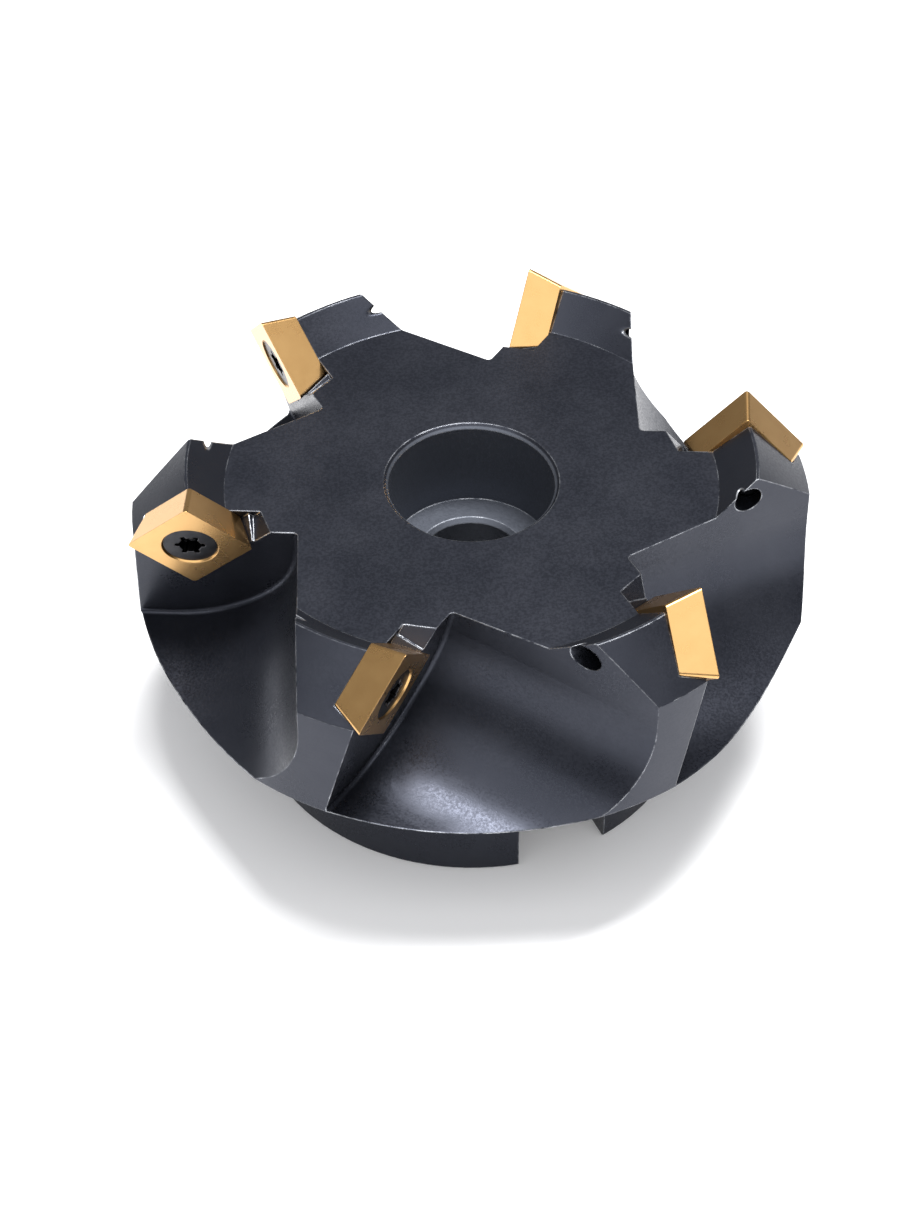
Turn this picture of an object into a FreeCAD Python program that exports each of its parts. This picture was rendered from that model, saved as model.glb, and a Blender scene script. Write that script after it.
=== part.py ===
import FreeCAD, Part
import math
import os

from FreeCAD import Placement, Rotation, Vector

# Shell face mill: a steel body that carries six square carbide inserts, each held by one
# countersunk screw.  Millimetres.  The origin is the centre of the seating face, which
# bears on the arbor, and +Z points along the spindle axis towards the work.  The body
# turns counterclockwise as seen from +Z, so every insert faces that way.

# Cutting geometry
TOOTH_COUNT = 6
CUTTING_DIAMETER = 63.0         # over the insert tips, at the finished surface
OVERALL_HEIGHT = 40.0           # seating face to the insert tips
FIRST_TOOTH_ANGLE = -6.5        # azimuth of tooth 1, counted from +X
SEAT_YAW = 20.0                 # turn of a seat about Z, its outer end swept back
SEAT_TILT = 12.5                # lean of a seat, its top edge leading

# Insert
INSERT_SIDE = 9.525
INSERT_THICKNESS = 3.97
INSERT_RELIEF = 15.0            # slope of the four flanks
INSERT_NOSE_RADIUS = 0.4
INSERT_HOLE = 4.4               # diameter
COUNTERSINK_MOUTH = 6.1         # diameter at the rake face
COUNTERSINK_HALF_ANGLE = 30.0

# Insert screw
SCREW_THREAD = 3.5              # diameter over the crests
SCREW_ROOT = 2.8                # diameter at the thread root
THREAD_PITCH = 0.6
SCREW_HEAD_SINK = 0.2           # head face below the rake face
SCREW_REACH = 4.83              # screw end below the insert
SOCKET_DEPTH = 1.5
SOCKET_TIP_DIAMETER = 3.3       # over the six lobes
SOCKET_WAIST_DIAMETER = 2.4     # across the six hollows
SOCKET_LOBE_RADIUS = 0.29

# Clearances
SEAT_GAP = 0.02                 # insert to seat and to the two pocket walls
CONE_GAP = 0.03                 # screw cone to the insert's countersink
THREAD_GAP = 0.03               # screw crests to the tapped hole

# Body, turned shape.  Drops are measured down from the insert tips, and setbacks inwards
# from the circle through them, so the body follows the cutting geometry.
FRONT_FACE_DROP = 4.6
FRONT_FACE_SETBACK = 4.9        # edge of the flat inside the raised ring of teeth
RIDGE_DROP = 1.5                # crest of that ring
RIDGE_SETBACK = 1.1             # inner edge of the crest
RIDGE_WIDTH = 0.3
BEVEL_FOOT_DROP = 7.1           # where the outer bevel meets the cylinder
RIM_DROP = 20.9                 # lower edge of the cylinder
RIM_CHAMFER = 0.3
CORNER_OVERHANG = 0.86          # outer corner of an insert beyond the cylinder
BACK_TAPER = 45.0               # underside of the head, from the rim to the hub
HUB_DIAMETER = 49.2
HUB_CHAMFER = 0.4

# Body, arbor side and screw seat
ARBOR_BORE = 22.0
ARBOR_SCREW_HOLE = 11.0
COUNTERBORE = 18.0
COUNTERBORE_DEPTH = 10.8
SCREW_WEB = 4.6                 # metal between the counterbore and the arbor bore
BORE_CHAMFER = 0.5
DRIVE_SLOT_WIDTH = 10.4
DRIVE_SLOT_DEPTH = 6.3

# Gullets
GULLET_TURN = 16.3              # gullet direction swept back from square to the tooth
GULLET_WALL_SETBACK = 12.85     # inner wall, from the circle through the tips
GULLET_RADIUS = 14.3            # round from the inner wall to the floor
GULLET_FLOOR_DROP = 20.4        # floor below the tips where the gullet passes nearest the axis
GULLET_FALL = 0.13              # drop per millimetre of travel
GULLET_CORNER = 0.5             # round between the end wall and the rest
END_WALL_SETBACK = 0.9          # end wall behind the rake face, at the insert's centre
END_WALL_LEAN = 1.8             # extra lean of the end wall over the seat's

# Pockets and tapped holes
CORNER_RELIEF = 1.2             # diameter of the relief in the pocket corner
NOTCH_SIDE_GAP = 0.15           # clearance wall past the insert's inner corner, at the rake face
NOTCH_RELIEF = 7.7              # slope of that clearance wall
POCKET_LEAD = 3.0               # pocket cutter starts this far ahead of the rake face
TAPPED_RUNOUT = 0.2             # tapped length past the screw end
THREAD_GROOVE_DEPTH = 0.15      # grooves in the tapped hole
TAP_DRILL = 2.9                 # diameter of the hole that runs on through the tooth
TAP_DRILL_LENGTH = 16.0         # from the seat, past the back of the tooth

REACH = 60.0                    # cutters run this far, well outside the body
OVERRUN = 1.0                   # cutters start this far outside the face they enter
TOLERANCE = 1e-4

TIP_RADIUS = CUTTING_DIAMETER / 2
HALF_SIDE = INSERT_SIDE / 2
HALF_DIAGONAL = INSERT_SIDE / math.sqrt(2)
SEAT_DEPTH = INSERT_THICKNESS + SEAT_GAP
FRONT_FACE_HEIGHT = OVERALL_HEIGHT - FRONT_FACE_DROP
RELIEF_SLOPE = math.tan(math.radians(INSERT_RELIEF))
NOTCH_SLOPE = math.tan(math.radians(NOTCH_RELIEF))
CONE_SLOPE = math.tan(math.radians(COUNTERSINK_HALF_ANGLE))


def polar(radius, azimuth, height=0.0):
    """Point at a radius and an azimuth in degrees."""
    turn = math.radians(azimuth)
    return Vector(radius * math.cos(turn), radius * math.sin(turn), height)


def revolved(outline):
    """Solid of revolution about Z from (radius, height) points."""
    points = [Vector(radius, 0, height) for radius, height in outline]
    face = Part.Face(Part.makePolygon(points + points[:1]))
    return face.revolve(Vector(0, 0, 0), Vector(0, 0, 1), 360)


def polygon_wire(points, height):
    """Closed wire through (x, y) points at one height."""
    corners = [Vector(x, y, height) for x, y in points]
    return Part.makePolygon(corners + corners[:1])


def rounded_square(side, radius, height):
    """Wire of a square that stands on a corner, centred on Z, its corners rounded."""
    reach = (side / 2 - radius) * math.sqrt(2)
    edges = []
    for azimuth in (0, 90, 180, 270):
        centre = polar(reach, azimuth, height)
        following = polar(reach, azimuth + 90, height)
        rim = [polar(radius, azimuth + swing) for swing in (-45, 0, 45)]
        edges.append(Part.Arc(centre + rim[0], centre + rim[1], centre + rim[2]).toShape())
        edges.append(Part.LineSegment(centre + rim[2], following + rim[2]).toShape())
    return Part.Wire(edges)


def insert_frame():
    """Placement of the insert on a tooth whose tip lies on +X.

    Its origin is the middle of the rake face.  Local Z is the rake face's normal, local X
    is the level diagonal that points outwards, and local Y runs down the other diagonal
    from the cutting tip to the corner that locates in the pocket.
    """
    yaw = Rotation(Vector(0, 0, 1), -SEAT_YAW)
    outward = yaw.multVec(Vector(1, 0, 0))
    forward = yaw.multVec(Vector(0, 1, 0))
    lean = math.radians(SEAT_TILT)
    normal = forward * math.cos(lean) - Vector(0, 0, 1) * math.sin(lean)
    down = normal.cross(outward)
    tip = Vector(TIP_RADIUS, 0, OVERALL_HEIGHT)
    return Placement(tip + down * HALF_DIAGONAL, Rotation(outward, down, normal, "ZXY"))


def end_wall_frame():
    """Placement whose XY plane is the gullet's end wall; +Z points into the gullet."""
    lean = Rotation(Vector(1, 0, 0), -END_WALL_LEAN)
    return insert_frame().multiply(Placement(Vector(0, 0, -END_WALL_SETBACK), lean))


def tooth_frame(index):
    """Placement of tooth number index, counted counterclockwise from 0."""
    angle = FIRST_TOOTH_ANGLE + 360 / TOOTH_COUNT * index
    return Placement(Vector(0, 0, 0), Rotation(Vector(0, 0, 1), angle))


def body_radius():
    """Radius of the cylinder, which the outer corner of each insert overhangs."""
    corner = insert_frame().multVec(Vector(HALF_DIAGONAL, 0, 0))
    return math.hypot(corner.x, corner.y) - CORNER_OVERHANG


def moved(shape, placement):
    """Copy of a shape, carried from local coordinates by a placement."""
    copy = shape.copy()
    copy.transformShape(placement.toMatrix(), True)
    return copy


def thread_outline(crest, root, top, bottom):
    """Zigzag (radius, height) points of ring grooves, from top down to bottom."""
    outline = []
    flat = THREAD_PITCH / 8
    rings = int((top - bottom) / THREAD_PITCH)
    for ring in range(rings):
        upper = top - ring * THREAD_PITCH
        lower = upper - THREAD_PITCH / 2
        outline += [(crest, upper), (crest, upper - flat)]
        outline += [(root, lower), (root, lower - flat)]
    return outline


def make_insert():
    """Insert in its own frame, with the rake face at height 0."""
    back_side = INSERT_SIDE - 2 * INSERT_THICKNESS * RELIEF_SLOPE
    front = rounded_square(INSERT_SIDE, INSERT_NOSE_RADIUS, 0)
    back = rounded_square(back_side, INSERT_NOSE_RADIUS, -INSERT_THICKNESS)
    block = Part.makeLoft([front, back], True, True)
    mouth = COUNTERSINK_MOUTH / 2
    hole = INSERT_HOLE / 2
    throat = -(mouth - hole) / CONE_SLOPE
    below = -INSERT_THICKNESS - OVERRUN
    outline = [(0, OVERRUN), (mouth, OVERRUN), (mouth, 0), (hole, throat), (hole, below), (0, below)]
    return block.cut(revolved(outline))


def make_socket():
    """Six-lobed socket, cut into the head from its face down."""
    floor = -SCREW_HEAD_SINK - SOCKET_DEPTH
    depth = SOCKET_DEPTH + OVERRUN
    lobe = SOCKET_LOBE_RADIUS
    reach = SOCKET_TIP_DIAMETER / 2 - lobe
    socket = Part.makeCylinder(SOCKET_WAIST_DIAMETER / 2, depth, Vector(0, 0, floor))
    lobes = []
    for azimuth in range(0, 360, 60):
        lobes.append(Part.makeCylinder(lobe, depth, polar(reach, azimuth, floor)))
        bar = Part.makeBox(reach, 2 * lobe, depth, Vector(0, -lobe, floor))
        bar.rotate(Vector(0, 0, 0), Vector(0, 0, 1), azimuth)
        lobes.append(bar)
    return socket.fuse(lobes).removeSplitter()


def make_screw():
    """Insert screw in the insert's frame."""
    face = -SCREW_HEAD_SINK
    end = -INSERT_THICKNESS - SCREW_REACH
    mouth = COUNTERSINK_MOUTH / 2 - CONE_GAP / math.cos(math.radians(COUNTERSINK_HALF_ANGLE))
    head = mouth - SCREW_HEAD_SINK * CONE_SLOPE
    root = SCREW_ROOT / 2
    neck = -(mouth - root) / CONE_SLOPE
    thread_top = -INSERT_THICKNESS - THREAD_PITCH
    outline = [(0, face), (head, face), (root, neck), (root, thread_top + THREAD_PITCH / 2)]
    outline += thread_outline(SCREW_THREAD / 2, root, thread_top, end + THREAD_PITCH)
    outline += [(root, end), (0, end)]
    return revolved(outline).cut(make_socket())


def make_blank():
    """Body as turned: head, back taper and hub, with its bores."""
    body = body_radius()
    hub = HUB_DIAMETER / 2
    ridge = TIP_RADIUS - RIDGE_SETBACK
    ridge_height = OVERALL_HEIGHT - RIDGE_DROP
    rim_height = OVERALL_HEIGHT - RIM_DROP
    taper = body - RIM_CHAMFER - hub
    taper_foot = rim_height - taper * math.tan(math.radians(BACK_TAPER))
    outside = [(0, 0), (hub - HUB_CHAMFER, 0), (hub, HUB_CHAMFER), (hub, taper_foot)]
    outside += [(body - RIM_CHAMFER, rim_height), (body, rim_height + RIM_CHAMFER)]
    outside += [(body, OVERALL_HEIGHT - BEVEL_FOOT_DROP)]
    outside += [(ridge + RIDGE_WIDTH, ridge_height), (ridge, ridge_height)]
    outside += [(TIP_RADIUS - FRONT_FACE_SETBACK, FRONT_FACE_HEIGHT), (0, FRONT_FACE_HEIGHT)]
    return revolved(outside).cut(make_bores())


def make_bores():
    """Arbor bore from below, screw hole, and counterbore from the front face."""
    arbor = ARBOR_BORE / 2
    hole = ARBOR_SCREW_HOLE / 2
    counter = COUNTERBORE / 2
    front = FRONT_FACE_HEIGHT
    ledge = front - COUNTERBORE_DEPTH
    bore_end = ledge - SCREW_WEB
    outline = [(0, -OVERRUN), (arbor + BORE_CHAMFER + OVERRUN, -OVERRUN)]
    outline += [(arbor, BORE_CHAMFER), (arbor, bore_end), (hole, bore_end)]
    outline += [(hole, ledge - BORE_CHAMFER), (hole + BORE_CHAMFER, ledge)]
    outline += [(counter, ledge), (counter, front - BORE_CHAMFER)]
    outline += [(counter + BORE_CHAMFER + OVERRUN, front + OVERRUN), (0, front + OVERRUN)]
    return revolved(outline)


def make_drive_slot():
    """Slot across the seating face, along Y, for the arbor's drive tenons."""
    corner = Vector(-DRIVE_SLOT_WIDTH / 2, -REACH, -OVERRUN)
    return Part.makeBox(DRIVE_SLOT_WIDTH, 2 * REACH, DRIVE_SLOT_DEPTH + OVERRUN, corner)


def make_gullet():
    """Chip space in front of a tooth whose tip lies on +X."""
    wall = TIP_RADIUS - GULLET_WALL_SETBACK
    floor = OVERALL_HEIGHT - GULLET_FLOOR_DROP
    top = OVERALL_HEIGHT + REACH
    round_centre = Vector(wall + GULLET_RADIUS, 0, floor + GULLET_RADIUS)
    slant = GULLET_RADIUS / math.sqrt(2)
    round_middle = round_centre - Vector(slant, 0, slant)
    corners = [Vector(wall, 0, round_centre.z), Vector(round_centre.x, 0, floor)]
    corners += [Vector(REACH, 0, floor), Vector(REACH, 0, top), Vector(wall, 0, top)]
    edges = [Part.Arc(corners[0], round_middle, corners[1]).toShape()]
    for start, end in zip(corners[1:], corners[2:] + corners[:1]):
        edges.append(Part.LineSegment(start, end).toShape())
    face = Part.Face(Part.Wire(edges))
    travel = Vector(0, 1, -GULLET_FALL)
    face.translate(travel * -REACH)
    sweep = face.extrude(travel * 2 * REACH)
    sweep.rotate(Vector(0, 0, 0), Vector(0, 0, 1), -GULLET_TURN)
    ahead = Part.makeBox(4 * REACH, 4 * REACH, 4 * REACH, Vector(-2 * REACH, -2 * REACH, 0))
    return rounded_end(sweep.common(moved(ahead, end_wall_frame())))


def rounded_end(gullet):
    """Gullet with its end wall rounded into the inner wall, the round and the floor."""
    local = end_wall_frame().inverse()
    edges = []
    for edge in gullet.Edges:
        heights = [local.multVec(vertex.Point).z for vertex in edge.Vertexes]
        on_end_wall = max(abs(height) for height in heights) < TOLERANCE
        box = edge.BoundBox
        in_body = box.ZMin < FRONT_FACE_HEIGHT and box.XMin < body_radius()
        if on_end_wall and in_body:
            edges.append(edge)
    return gullet.makeFillet(GULLET_CORNER, edges)


def make_pocket():
    """Seat for an insert, in the insert's frame, open towards the tip and both cutting edges."""
    far = -REACH / 4
    seat_wires = []
    notch_wires = []
    for height in (POCKET_LEAD, -SEAT_DEPTH):
        wall = HALF_SIDE + SEAT_GAP + height * RELIEF_SLOPE
        seat_wires.append(polygon_wire([(far, far), (wall, far), (wall, wall), (far, wall)], height))
        side = HALF_SIDE + NOTCH_SIDE_GAP + height * NOTCH_SLOPE
        notch = [(far, far), (-HALF_SIDE, far), (-HALF_SIDE, side), (far, side)]
        notch_wires.append(polygon_wire(notch, height))
    pocket = Part.makeLoft(seat_wires, True, True).fuse(Part.makeLoft(notch_wires, True, True))
    pocket.rotate(Vector(0, 0, 0), Vector(0, 0, 1), 45)
    return pocket


def make_corner_relief():
    """Drilled relief along the pocket's inner corner, in the insert's frame."""
    points = []
    for height in (0, -SEAT_DEPTH):
        points.append(Vector(0, math.sqrt(2) * (HALF_SIDE + height * RELIEF_SLOPE), height))
    run = points[1] - points[0]
    return Part.makeCylinder(CORNER_RELIEF / 2, run.Length, points[0], run)


def make_tapped_hole():
    """Tapped hole behind the seat, in the insert's frame, with ring grooves for its thread."""
    bore = SCREW_THREAD / 2 + THREAD_GAP
    drill = TAP_DRILL / 2
    top = -INSERT_THICKNESS + OVERRUN
    tapped_end = -INSERT_THICKNESS - SCREW_REACH - TAPPED_RUNOUT
    drill_end = -INSERT_THICKNESS - TAP_DRILL_LENGTH
    first_ring = -INSERT_THICKNESS - THREAD_PITCH
    outline = [(0, top), (bore, top)]
    outline += thread_outline(bore, bore + THREAD_GROOVE_DEPTH, first_ring, tapped_end)
    outline += [(bore, tapped_end), (drill, tapped_end), (drill, drill_end), (0, drill_end)]
    return revolved(outline)


def make_body():
    """Cutter body: the turned blank with its slot, gullets, pockets and tapped holes."""
    seat_cuts = [make_pocket(), make_corner_relief(), make_tapped_hole()]
    tooth_cuts = [make_gullet()] + [moved(cut, insert_frame()) for cut in seat_cuts]
    body = make_blank().cut(make_drive_slot())
    for index in range(TOOTH_COUNT):
        for cut in tooth_cuts:
            body = body.cut(moved(cut, tooth_frame(index)))
    return body


def write_node(shape, name):
    """Write one sub-part as its own STEP file, as a single solid."""
    solids = shape.Solids
    if len(solids) != 1 or not solids[0].isValid():
        raise ValueError(f"{name} is not one valid solid")
    solids[0].exportStep(f"parts/{name}.step")


def main():
    os.makedirs("parts", exist_ok=True)
    write_node(make_body(), "cutter_body")
    insert = moved(make_insert(), insert_frame())
    screw = moved(make_screw(), insert_frame())
    for index in range(TOOTH_COUNT):
        frame = tooth_frame(index)
        write_node(moved(insert, frame), f"insert_{index + 1}")
        write_node(moved(screw, frame), f"insert_screw_{index + 1}")


main()
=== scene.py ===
"""Looks of a shell face mill: blackened steel body, gold-coated carbide inserts, dark screws.

Metres.  The CAD nodes stay as they are and get procedural materials.  The floor, the lights
and the camera are made here.
"""

import math

import bpy
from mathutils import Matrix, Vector

MM = 0.001

# The cutter, as the CAD frame has it
TOOTH_COUNT = 6
FIRST_TOOTH_ANGLE = math.radians(-6.5)   # azimuth of tooth 1
SEAT_YAW = math.radians(20.0)            # turn of an insert's seat about Z
SEAT_TILT = math.radians(12.5)           # lean of the seat
CORNER_STAND = math.radians(45.0)        # an insert stands on its corner
GULLET_TURN = math.radians(16.3)         # gullet direction, swept back from square to the tooth
FRONT_FACE_HEIGHT = 35.4 * MM
BODY_RADIUS = 36.65 * MM
COUNTERBORE_RADIUS = 9.0 * MM

# Where the folded azimuth of a tooth starts, counted from the tooth
GULLET_WINDOW = math.radians(-15.0)
SEAT_WINDOW = math.radians(-24.0)

# Colours, linear
STEEL_DARK = (0.028, 0.031, 0.042, 1)
STEEL_LIGHT = (0.036, 0.039, 0.051, 1)
# Paler steel near the axis below the front face: painted light that lifts the dim inside of the
# counterbore and its hole
STEEL_BORE_PAINTED_LIGHT = (0.11, 0.12, 0.145, 1)
STEEL_RUBBED = (0.62, 0.64, 0.68, 1)
GOLD_DARK = (0.60, 0.355, 0.140, 1)
GOLD_LIGHT = (0.64, 0.390, 0.160, 1)
GOLD_RUBBED = (0.42, 0.30, 0.18, 1)
SCREW_DARK = (0.028, 0.029, 0.033, 1)
SCREW_LIGHT = (0.046, 0.046, 0.050, 1)
SCREW_RUBBED = (0.30, 0.30, 0.32, 1)
FLOOR_DARK = (0.93, 0.93, 0.94, 1)
FLOOR_LIGHT = (0.95, 0.95, 0.955, 1)
WHITE = (1.0, 1.0, 1.0, 1)
SKY = (0.96, 0.97, 1.0, 1)

# Stretch of a pattern across, along and above a gullet or a seat
STREAK_STRETCH = (1.0, 0.05, 1.0)
WAVE_STRETCH = (1.0, 0.25, 1.0)
GRINDING_STRETCH = (1.0, 0.04, 1.0)

# Share of each pattern in the relief, and how deep the relief is
STREAK_SHARE = 0.8
WAVE_SHARE = 0.9
SPECK_SHARE = 0.45
COATING_SHARE = 0.3
STEEL_DEPTH = 0.005 * MM
CARBIDE_DEPTH = 0.0005 * MM
SCREW_DEPTH = 0.002 * MM

# Roughness of each material, and what its patterns and zones add
STEEL_ROUGHNESS = 0.22
STEEL_PATCH_ROUGHNESS = 0.12
STEEL_SPECK_ROUGHNESS = 0.12
STEEL_FACE_ROUGHNESS = 0.06
STEEL_BORE_ROUGHNESS = 0.18
CARBIDE_ROUGHNESS = 0.25
CARBIDE_CLOUD_ROUGHNESS = 0.06
SCREW_ROUGHNESS = 0.26
SCREW_OIL_ROUGHNESS = 0.14

# Edge wear: what is left of it on the least rubbed steel, and its share on gold and on screws
STEEL_LEAST_WEAR = 0.30
GOLD_WEAR_SHARE = 0.20
SCREW_WEAR_SHARE = 0.4
BEVEL_SAMPLES = 6

# Studio
FLOOR_SIZE = 6.0
FLOOR_GLOW = 0.14                        # own light, which brings the floor near white
SKY_STRENGTH = 0.29
LIGHT_TARGET = Vector((0, 0, 0.03))

# Camera, at the place and angles that a pinhole fit gave
CAMERA_PLACE = Vector((-106.9, -232.5, 267.6)) * MM
CAMERA_AZIMUTH = math.radians(65.61)     # direction it looks in, from +X
CAMERA_DROP = math.radians(44.56)        # below the horizon
CAMERA_LENS = 94.36                      # in millimetres, as the sensor is
SENSOR_WIDTH = 36.0
CLIP_START = 0.01
CLIP_END = 20.0


class Tree:
    """Short way to build a node tree: a call adds a node and links its inputs."""

    def __init__(self, node_tree):
        self.node_tree = node_tree

    def add(self, kind, inputs=(), **settings):
        """Node of a kind, with settings as attributes and inputs by name or place."""
        node = self.node_tree.nodes.new(kind)
        for key, value in settings.items():
            setattr(node, key, value)
        for key, value in dict(inputs).items():
            self.feed(node.inputs[key], value)
        return node

    def feed(self, socket, value):
        """Link a socket to another one, or set its plain value."""
        if isinstance(value, bpy.types.NodeSocket):
            self.node_tree.links.new(value, socket)
        else:
            socket.default_value = value

    def math(self, operation, first, second=0.0):
        """One step of arithmetic; a function of one number leaves the second out."""
        return self.add("ShaderNodeMath", {0: first, 1: second}, operation=operation).outputs[0]

    def product(self, first, *others):
        """Product of two or more values."""
        result = first
        for value in others:
            result = self.math("MULTIPLY", result, value)
        return result

    def total(self, first, *others):
        """Sum of two or more values."""
        result = first
        for value in others:
            result = self.math("ADD", result, value)
        return result

    def stretched(self, vector, factors):
        """Vector times factors, one for each axis."""
        inputs = {0: vector, 1: factors}
        return self.add("ShaderNodeVectorMath", inputs, operation="MULTIPLY").outputs["Vector"]

    def along(self, vector, direction):
        """Dot product."""
        inputs = {0: vector, 1: direction}
        return self.add("ShaderNodeVectorMath", inputs, operation="DOT_PRODUCT").outputs["Value"]

    def ramp(self, value, low, high):
        """0 at low, 1 at high, straight between; low may be the larger."""
        inputs = {0: value, 1: low, 2: high, 3: 0.0, 4: 1.0}
        return self.add("ShaderNodeMapRange", inputs).outputs[0]

    def noise(self, vector, scale, detail=2.0, roughness=0.5):
        """Noise with scale cells in a metre."""
        inputs = {"Vector": vector, "Scale": scale, "Detail": detail, "Roughness": roughness}
        return self.add("ShaderNodeTexNoise", inputs).outputs["Fac"]

    def blend(self, factor, first, second):
        """Number between two others."""
        return self.add("ShaderNodeMix", {0: factor, 2: first, 3: second}).outputs[0]

    def mix(self, factor, first, second):
        """Colour between two others."""
        inputs = {0: factor, 6: first, 7: second}
        return self.add("ShaderNodeMix", inputs, data_type="RGBA").outputs[2]

    def bump(self, height, depth, normal):
        """Normal bent by a relief of a depth in metres."""
        inputs = {"Height": height, "Distance": depth, "Strength": 1.0, "Normal": normal}
        return self.add("ShaderNodeBump", inputs).outputs["Normal"]


def new_material(name, **shader_inputs):
    """Material with one Principled shader; its uniform numbers are set on its sockets."""
    material = bpy.data.materials.new(name)
    material.use_nodes = True
    shader = material.node_tree.nodes["Principled BSDF"]
    for key, value in shader_inputs.items():
        shader.inputs[key.replace("_", " ")].default_value = value
    return material, shader, Tree(material.node_tree)


def finish_material(tree, shader, colour, roughness, normal):
    """Link what varies over a surface to its shader."""
    tree.feed(shader.inputs["Base Color"], colour)
    tree.feed(shader.inputs["Roughness"], roughness)
    tree.feed(shader.inputs["Normal"], normal)


def cylindrical(tree, place):
    """Azimuth, radius and height of a place."""
    x, y, height = tree.add("ShaderNodeSeparateXYZ", {0: place}).outputs
    azimuth = tree.math("ARCTAN2", y, x)
    radius = tree.math("SQRT", tree.total(tree.product(x, x), tree.product(y, y)))
    return azimuth, radius, height


def tooth_space(tree, cylinder, window, turn):
    """A place, given as azimuth, radius and height, in the frame of the tooth next to it.

    The azimuth is folded into a window of one tooth pitch that starts at window, and turn is
    then taken off, so that X and Y lie across and along a gullet or a seat.
    """
    azimuth, radius, height = cylinder
    pitch = 2 * math.pi / TOOTH_COUNT
    past_start = tree.math("SUBTRACT", azimuth, FIRST_TOOTH_ANGLE + window)
    folded = tree.math("FLOORED_MODULO", past_start, pitch)
    local = tree.math("ADD", folded, window - turn)
    across = tree.product(radius, tree.math("COSINE", local))
    along = tree.product(radius, tree.math("SINE", local))
    return tree.add("ShaderNodeCombineXYZ", {0: across, 1: along, 2: height}).outputs[0]


def edge_wear(tree, radius, low, high):
    """1 along the edges, 0 on the open faces, and a normal that rounds the edges off.

    Where the rounded normal has turned away from the face, the two point less alike: low is
    the likeness at which the wear starts, and high the one at which it is full.
    """
    rounded = tree.add("ShaderNodeBevel", {"Radius": radius}, samples=BEVEL_SAMPLES).outputs[0]
    true_normal = tree.add("ShaderNodeNewGeometry").outputs["True Normal"]
    return tree.ramp(tree.along(rounded, true_normal), low, high), rounded


def steel_zones(tree, cylinder, normal):
    """Masks of the turned front face, the turned cylinder, and the counterbore and its hole."""
    _, radius, height = cylinder
    upright = tree.add("ShaderNodeSeparateXYZ", {0: normal}).outputs[2]
    front = FRONT_FACE_HEIGHT
    facing_up = tree.ramp(upright, low=0.97, high=0.99)
    at_front = tree.ramp(height, low=front - 0.4 * MM, high=front - 0.1 * MM)
    on_face = tree.product(facing_up, at_front)
    outermost = tree.ramp(radius, low=BODY_RADIUS - 0.15 * MM, high=BODY_RADIUS - 0.05 * MM)
    on_side = tree.product(outermost, tree.ramp(upright, low=0.1, high=0.05))
    bore = COUNTERBORE_RADIUS
    near_axis = tree.ramp(radius, low=bore + 0.6 * MM, high=bore + 0.2 * MM)
    sunk = tree.ramp(height, low=front - 0.2 * MM, high=front - 0.3 * MM)
    in_bore = tree.product(near_axis, sunk)
    return on_face, on_side, in_bore


def steel_relief(tree, cylinder, specks, on_face, on_side):
    """Height of the tool marks: rings where turned, streaks along the gullets elsewhere."""
    _, radius, height = cylinder
    rings = tree.add("ShaderNodeCombineXYZ", {0: radius}).outputs[0]
    levels = tree.add("ShaderNodeCombineXYZ", {0: height}).outputs[0]
    face_rings = tree.noise(rings, scale=3200.0, detail=3.0)
    side_rings = tree.noise(levels, scale=2600.0, detail=3.0)

    milled = tooth_space(tree, cylinder, GULLET_WINDOW, -GULLET_TURN)
    drawn_out = tree.stretched(milled, STREAK_STRETCH)
    streaks = tree.noise(drawn_out, scale=3000.0, detail=3.0, roughness=0.6)
    waves = tree.noise(tree.stretched(milled, WAVE_STRETCH), scale=420.0)
    milling = tree.total(tree.product(streaks, STREAK_SHARE), tree.product(waves, WAVE_SHARE))

    relief = tree.blend(on_face, milling, face_rings)
    relief = tree.blend(on_side, relief, side_rings)
    return tree.total(relief, tree.product(specks, SPECK_SHARE))


def steel_wear(tree, place):
    """Broken line of bare metal along the edges, and the rounded normal."""
    edges, rounded = edge_wear(tree, radius=0.22 * MM, low=0.985, high=0.86)
    nicks = tree.noise(place, scale=700.0, detail=3.0, roughness=0.65)
    unbroken = tree.ramp(nicks, low=0.36, high=0.62)
    rubbed = tree.ramp(tree.noise(place, scale=150.0), low=0.40, high=0.64)
    return tree.product(edges, unbroken, tree.total(STEEL_LEAST_WEAR, rubbed)), rounded


def steel_material():
    """Blackened steel: turned outside, milled gullets, edges rubbed bright; the bore and its
    hole get a paler colour, painted light that lifts their dim inside.
    """
    material, shader, tree = new_material("blackened_steel", Metallic=0.8)
    coords = tree.add("ShaderNodeTexCoord")
    place = coords.outputs["Object"]
    cylinder = cylindrical(tree, place)
    on_face, on_side, in_bore = steel_zones(tree, cylinder, coords.outputs["Normal"])
    grain = tree.noise(place, scale=9000.0, roughness=0.6)
    speckle = tree.noise(place, scale=3600.0, roughness=0.7)
    patches = tree.noise(place, scale=130.0, detail=3.0)

    relief = steel_relief(tree, cylinder, tree.total(grain, speckle), on_face, on_side)
    worn, rounded = steel_wear(tree, place)

    colour = tree.mix(tree.ramp(patches, low=0.35, high=0.65), STEEL_DARK, STEEL_LIGHT)
    # Painted light: the counterbore and its hole get a paler steel colour that lifts their dim
    # inside
    colour = tree.mix(in_bore, colour, STEEL_BORE_PAINTED_LIGHT)
    colour = tree.mix(worn, colour, STEEL_RUBBED)

    matt_specks = tree.ramp(speckle, low=0.40, high=0.60)
    roughness = tree.total(
        STEEL_ROUGHNESS,
        tree.product(patches, STEEL_PATCH_ROUGHNESS),
        tree.product(matt_specks, STEEL_SPECK_ROUGHNESS),
        tree.product(on_face, STEEL_FACE_ROUGHNESS),
        tree.product(in_bore, STEEL_BORE_ROUGHNESS))

    finish_material(tree, shader, colour, roughness, tree.bump(relief, STEEL_DEPTH, rounded))
    return material


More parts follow.
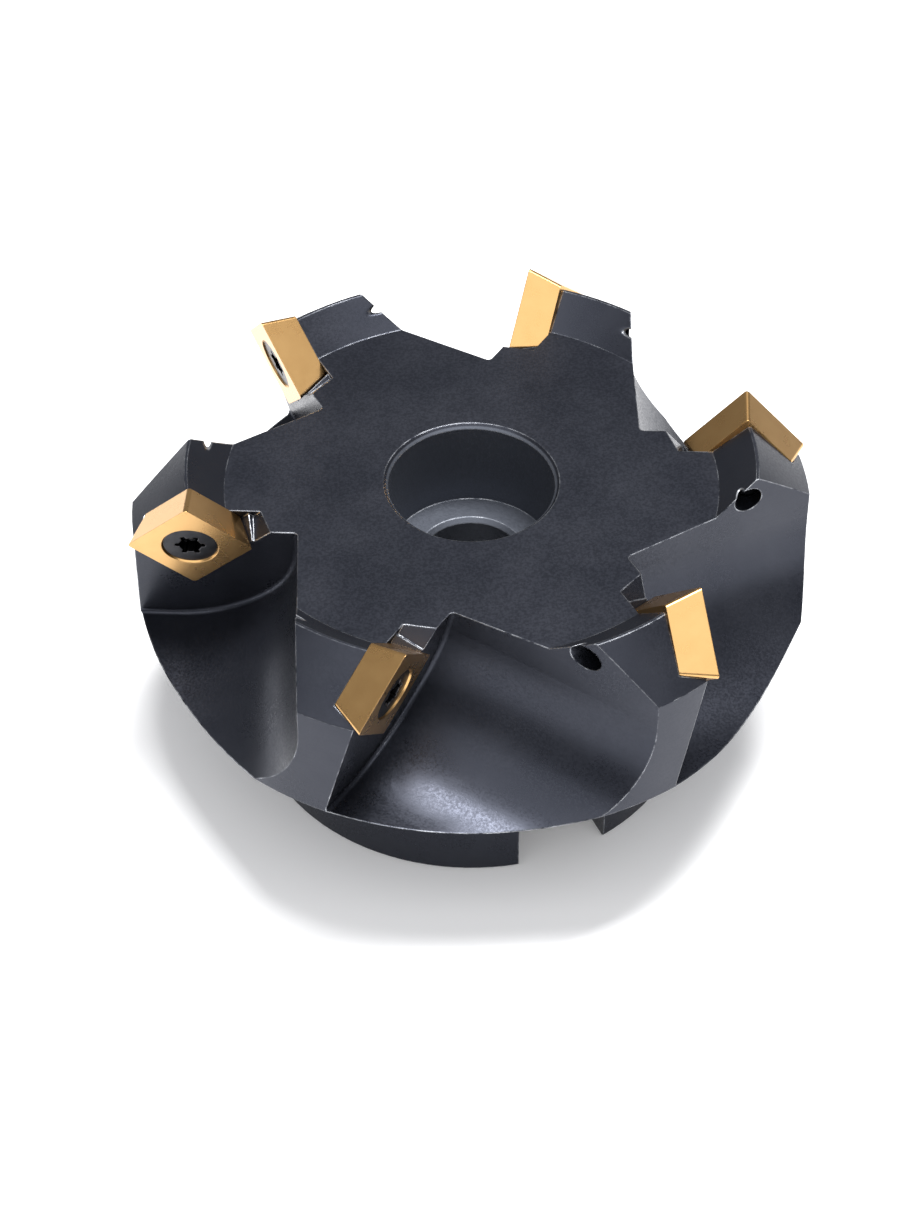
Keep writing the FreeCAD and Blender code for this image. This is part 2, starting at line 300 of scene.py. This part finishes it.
def carbide_material():
    """Carbide with a gold coating over ground faces, its edges a little darker."""
    material, shader, tree = new_material("gold_coated_carbide", Metallic=1.0)
    place = tree.add("ShaderNodeTexCoord").outputs["Object"]
    seat = tooth_space(tree, cylindrical(tree, place), SEAT_WINDOW, -SEAT_YAW)
    for rotation in ((-SEAT_TILT, 0.0, 0.0), (0.0, CORNER_STAND, 0.0)):
        seat = tree.add("ShaderNodeMapping", {"Vector": seat, "Rotation": rotation}).outputs[0]
    ground = tree.noise(tree.stretched(seat, GRINDING_STRETCH), scale=5200.0)
    clouds = tree.noise(place, scale=420.0, detail=3.0)
    grain = tree.noise(place, scale=12000.0, detail=1.0)
    worn, rounded = edge_wear(tree, radius=0.10 * MM, low=0.97, high=0.80)

    colour = tree.mix(tree.ramp(clouds, low=0.3, high=0.7), GOLD_DARK, GOLD_LIGHT)
    colour = tree.mix(tree.product(worn, GOLD_WEAR_SHARE), colour, GOLD_RUBBED)
    roughness = tree.total(CARBIDE_ROUGHNESS, tree.product(clouds, CARBIDE_CLOUD_ROUGHNESS))
    relief = tree.total(ground, tree.product(grain, COATING_SHARE))
    finish_material(tree, shader, colour, roughness, tree.bump(relief, CARBIDE_DEPTH, rounded))
    return material


def screw_material():
    """Blackened screw, a little oily, with all its edges rubbed a little."""
    material, shader, tree = new_material("blackened_screw", Metallic=1.0)
    place = tree.add("ShaderNodeTexCoord").outputs["Object"]
    worn, rounded = edge_wear(tree, radius=0.12 * MM, low=0.97, high=0.82)
    oil = tree.noise(place, scale=900.0, detail=3.0)
    grain = tree.noise(place, scale=9000.0)

    colour = tree.mix(tree.ramp(oil, low=0.3, high=0.7), SCREW_DARK, SCREW_LIGHT)
    colour = tree.mix(tree.product(worn, SCREW_WEAR_SHARE), colour, SCREW_RUBBED)
    roughness = tree.total(SCREW_ROUGHNESS, tree.product(oil, SCREW_OIL_ROUGHNESS))
    finish_material(tree, shader, colour, roughness, tree.bump(grain, SCREW_DEPTH, rounded))
    return material


def floor_material():
    """Plain pale floor, a little uneven in shade."""
    material, shader, tree = new_material(
        "pale_floor", Roughness=0.9, Specular_IOR_Level=0.1,
        Emission_Color=WHITE, Emission_Strength=FLOOR_GLOW)
    place = tree.add("ShaderNodeTexCoord").outputs["Object"]
    shade = tree.noise(place, scale=7.0, detail=3.0)
    tree.feed(shader.inputs["Base Color"], tree.mix(shade, FLOOR_DARK, FLOOR_LIGHT))
    return material


def dress(nodes):
    """Gives each CAD node its material."""
    steel = steel_material()
    carbide = carbide_material()
    screw = screw_material()
    for name, node in nodes.items():
        material = steel
        if name.startswith("insert_screw"):
            material = screw
        elif name.startswith("insert"):
            material = carbide
        node.data.materials.clear()
        node.data.materials.append(material)


def add_floor():
    """Floor far larger than the picture, under the object."""
    bpy.ops.mesh.primitive_plane_add(size=FLOOR_SIZE, location=(0, 0, 0))
    floor = bpy.context.object
    floor.name = "floor"
    floor.data.materials.append(floor_material())


def aim(thing, place, target):
    """Put a light or a camera at a place and turn it to a target."""
    thing.location = place
    thing.rotation_euler = (target - place).to_track_quat("-Z", "Y").to_euler()


def around(azimuth, elevation, distance):
    """Place at a distance from the origin and at two angles in degrees.

    Azimuth 0 lies straight away from the camera, and a larger one is more to its right.
    """
    angle = CAMERA_AZIMUTH - math.radians(azimuth)
    rise = math.radians(elevation)
    flat = distance * math.cos(rise)
    return Vector((flat * math.cos(angle), flat * math.sin(angle), distance * math.sin(rise)))


def add_light(name, place, width, depth, power):
    """Rectangular light, in metres and watts, that faces the object."""
    light = bpy.data.lights.new(name, "AREA")
    light.shape = "RECTANGLE"
    light.size = width
    light.size_y = depth
    light.energy = power
    lamp = bpy.data.objects.new(name, light)
    bpy.context.scene.collection.objects.link(lamp)
    aim(lamp, place, LIGHT_TARGET)


def add_lights():
    """Dim even surroundings, a soft lamp overhead and a wide ceiling light behind the camera."""
    world = bpy.data.worlds.new("studio")
    world.use_nodes = True
    background = world.node_tree.nodes["Background"]
    background.inputs["Color"].default_value = SKY
    background.inputs["Strength"].default_value = SKY_STRENGTH
    bpy.context.scene.world = world
    overhead = around(azimuth=60, elevation=82, distance=1.3)
    add_light("lamp", overhead, width=0.30, depth=0.60, power=25.0)
    behind = around(azimuth=180, elevation=58, distance=1.6)
    add_light("ceiling_behind", behind, width=3.0, depth=1.1, power=18.0)


def add_camera():
    """Camera that looks down at the object from the front."""
    camera = bpy.data.objects.new("camera", bpy.data.cameras.new("camera"))
    camera.data.lens = CAMERA_LENS
    camera.data.sensor_width = SENSOR_WIDTH
    camera.data.clip_start = CLIP_START
    camera.data.clip_end = CLIP_END
    bpy.context.scene.collection.objects.link(camera)
    level = math.cos(CAMERA_DROP)
    ahead = Vector((math.cos(CAMERA_AZIMUTH) * level, math.sin(CAMERA_AZIMUTH) * level,
                    -math.sin(CAMERA_DROP)))
    aim(camera, CAMERA_PLACE, CAMERA_PLACE + ahead)
    bpy.context.scene.camera = camera


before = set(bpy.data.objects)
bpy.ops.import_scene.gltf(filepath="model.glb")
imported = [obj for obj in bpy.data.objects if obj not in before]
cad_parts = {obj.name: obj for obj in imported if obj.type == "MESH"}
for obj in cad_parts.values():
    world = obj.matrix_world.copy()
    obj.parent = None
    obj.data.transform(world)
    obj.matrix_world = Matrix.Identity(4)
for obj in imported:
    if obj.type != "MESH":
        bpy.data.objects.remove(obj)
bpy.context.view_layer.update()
dress(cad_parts)
add_floor()
add_lights()
add_camera()
bpy.context.scene.view_settings.view_transform = "Standard"
bpy.context.view_layer.update()
